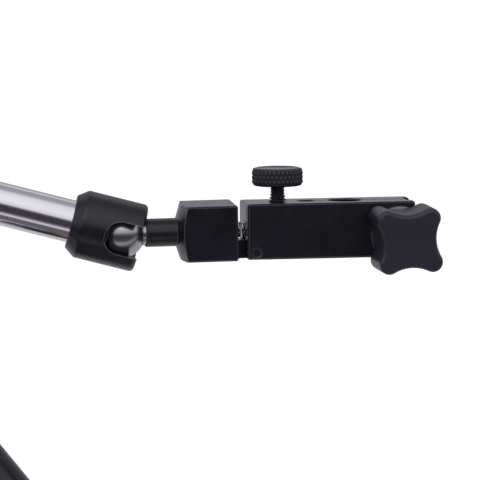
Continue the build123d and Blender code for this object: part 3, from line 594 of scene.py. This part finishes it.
SPRING_WIRE_R = 0.275 * MM
SPRING_R = 1.93 * MM
SPRING_TURNS = 4.5
SPRING_CLOSED_TURNS = 1.0
SPRING_CLOSED_PITCH = 2.02
SPRING_FIRST_ANGLE = math.pi * 0.35
SPRING_POINTS = 220
SPRING_SIDES = 12


def add_piece(name, mesh, body, material):
    """Links a mesh as a piece that rides on a body."""
    piece = bpy.data.objects.new(name, mesh)
    bpy.context.scene.collection.objects.link(piece)
    mesh.materials.append(material)
    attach(piece, body)
    return piece


def skin_rings(name, mesh, rings):
    """Closed surface through equal rings of points, smooth along its sides and flat at its ends."""
    for low, high in zip(rings, rings[1:]):
        for k in range(len(low)):
            after = (k + 1) % len(low)
            mesh.faces.new((low[k], low[after], high[after], high[k]))
    mesh.faces.new(list(reversed(rings[0])))
    mesh.faces.new(rings[-1])
    for face in mesh.faces:
        face.smooth = len(face.verts) == 4
    data = bpy.data.meshes.new(name)
    mesh.to_mesh(data)
    mesh.free()
    return data


def lathe(name, place, rows, steps, radius_at):
    """Closed surface about local z; rows are heights with a radius, refined by radius_at."""
    mesh = bmesh.new()
    rings = []
    for height, nominal in rows:
        ring = []
        for k in range(steps):
            angle = 2 * math.pi * k / steps
            radius = radius_at(angle, height, nominal)
            point = (radius * math.cos(angle), radius * math.sin(angle), height)
            ring.append(mesh.verts.new(point))
        rings.append(ring)
    bmesh.ops.transform(mesh, matrix=place, verts=mesh.verts)
    return skin_rings(name, mesh, rings)


def sweep_wire(name, points, radius, sides):
    """Round wire through a list of close points, with flat ends."""
    mesh = bmesh.new()
    rings = []
    normal = None
    for k, point in enumerate(points):
        ahead = points[min(k + 1, len(points) - 1)] - points[max(k - 1, 0)]
        ahead.normalize()
        if normal is None:
            normal = ahead.orthogonal().normalized()
        normal = (normal - ahead * normal.dot(ahead)).normalized()
        other = ahead.cross(normal)
        ring = []
        for s in range(sides):
            angle = 2 * math.pi * s / sides
            out = normal * math.cos(angle) + other * math.sin(angle)
            ring.append(mesh.verts.new(point + out * radius))
        rings.append(ring)
    return skin_rings(name, mesh, rings)


def make_adjust_shank(finishes, seat, place):
    """Thumb screw's shank: a right-hand thread whose crests run out into a plain neck."""
    low, high = span_along("adjust_screw_shank", seat, clamp_up)
    bar_top = span_along("clamp_body", seat, clamp_up)[1]

    def threaded(angle, height, nominal):
        above = height - (bar_top + RUN_OUT_START)
        run_out = min(max(above / (RUN_OUT_END - RUN_OUT_START), 0), 1)
        crest = nominal + (min(nominal, THREAD_NECK_R) - nominal) * run_out
        phase = (height / THREAD_PITCH - angle / (2 * math.pi)) % 1.0
        middle = max(0.0, 1 - abs(phase - 0.5) * 2 / GROOVE_WIDTH)
        return crest - max(0.0, crest - THREAD_ROOT_R) * min(1.0, middle * GROOVE_DEPTH)

    steps = int((high - low) / THREAD_PITCH * THREAD_ROWS)
    start = low + THREAD_CHAMFER
    rows = [(low, THREAD_R * THREAD_TIP)]
    rows += [(start + (high - start) * k / steps, THREAD_R) for k in range(steps + 1)]
    shank = lathe("adjust_screw_thread", place, rows, THREAD_SIDES, threaded)
    thread = add_piece(
        "adjust_screw_thread", shank, "adjust_screw", finishes["black_steel"]
    )
    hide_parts("adjust_screw_shank")


def make_adjust_head(finishes, seat, place):
    """Thumb screw's head: diamond-knurled rim between rounded edges, and a slightly dished top."""
    under, top = span_along("adjust_screw_head", seat, clamp_up)
    edge = HEAD_R - HEAD_FLAT_R

    def knurled(angle, height, nominal):
        across = min(1.0, (nominal - HEAD_FLAT_R) / edge)
        if across <= 0:
            return nominal
        run = (height - under) / KNURL_LEAD
        around = angle * KNURL_TEETH / (2 * math.pi)
        groove_a = abs(((around + run) % 1.0) - 0.5) * 2
        groove_b = abs(((around - run) % 1.0) - 0.5) * 2
        return nominal - KNURL_DEPTH * across * max(groove_a, groove_b)

    def edge_row(share):
        """Height inwards from a flat face, and radius, part of the way round an edge's bend."""
        bend = math.pi / 2 * share
        return edge * (1 - math.cos(bend)), HEAD_FLAT_R + edge * math.sin(bend)

    rows = [(under, HEAD_NECK_R), (under, HEAD_FLAT_R - HEAD_FLAT_EDGE), (under, HEAD_FLAT_R)]
    for k in range(1, HEAD_BEND_ROWS + 1):
        rise, radius = edge_row(k / HEAD_BEND_ROWS)
        rows.append((under + rise, radius))
    for k in range(1, HEAD_RIM_ROWS):
        rows.append((under + edge + (top - under - 2 * edge) * k / HEAD_RIM_ROWS, HEAD_R))
    for k in range(HEAD_BEND_ROWS + 1):
        drop, radius = edge_row(1 - k / HEAD_BEND_ROWS)
        rows.append((top - drop, radius))
    rows += [
        (top, HEAD_FLAT_R - DISH_LIP),
        (top - DISH_DEPTH, HEAD_FLAT_R - DISH_EDGE),
        (top - DISH_DEPTH, DISH_MIDDLE_R),
    ]
    head = lathe("adjust_screw_knurl", place, rows, KNURL_TEETH * KNURL_SIDES, knurled)
    knob = add_piece(
        "adjust_screw_knurl", head, "adjust_screw", finishes["black_steel"]
    )
    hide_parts("adjust_screw_head")


def make_adjust_screw(finishes):
    """Thumb screw, upright in the clamp bar."""
    seat = joint_point("adjust_turn")
    place = frame_of(seat, clamp_dir, clamp_up)
    make_adjust_shank(finishes, seat, place)
    make_adjust_head(finishes, seat, place)


def make_gap_spring(finishes):
    """Compression spring with closed end coils in the gap between the block and the clamp."""
    low_corner, high_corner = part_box("gap_spring")
    middle = (low_corner + high_corner) / 2
    start, end = span_along("gap_spring", middle, head_dir)
    coil = SPRING_R - SPRING_WIRE_R
    closed_pitch = SPRING_CLOSED_PITCH * SPRING_WIRE_R
    last_open = SPRING_TURNS - SPRING_CLOSED_TURNS
    free = (end - start) - 2 * SPRING_WIRE_R - 2 * SPRING_CLOSED_TURNS * closed_pitch
    points = []
    for k in range(SPRING_POINTS + 1):
        turn = SPRING_TURNS * k / SPRING_POINTS
        inner = min(max((turn - SPRING_CLOSED_TURNS) / (last_open - SPRING_CLOSED_TURNS), 0), 1)
        ends = min(turn, SPRING_CLOSED_TURNS) + max(0, turn - last_open)
        distance = start + SPRING_WIRE_R + ends * closed_pitch + free * inner
        angle = 2 * math.pi * turn + SPRING_FIRST_ANGLE
        out = head_up * math.cos(angle) + head_front * math.sin(angle)
        points.append(middle + head_dir * distance + out * coil)
    mesh = sweep_wire("gap_spring_coil", points, SPRING_WIRE_R, SPRING_SIDES)
    spring = add_piece(
        "gap_spring_coil", mesh, "head_block", finishes["polished_steel"]
    )
    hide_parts("gap_spring")


def main():
    """Camera and studio first, then the object's finishes and its detailed pieces."""
    make_camera()
    make_world()
    make_floor()
    make_floor_cards()
    area_light(
        "softbox", SOFTBOX_PLACE, upper_ball, SOFTBOX_SIZE, SOFTBOX_POWER, SOFTBOX_COLOUR
    )
    area_light("backlight", BACKLIGHT_PLACE, BACKLIGHT_AIM, BACKLIGHT_SIZE, BACKLIGHT_POWER)
    finishes = dress_nodes()
    make_adjust_screw(finishes)
    make_gap_spring(finishes)
    bpy.context.scene.view_settings.view_transform = "Standard"


main()
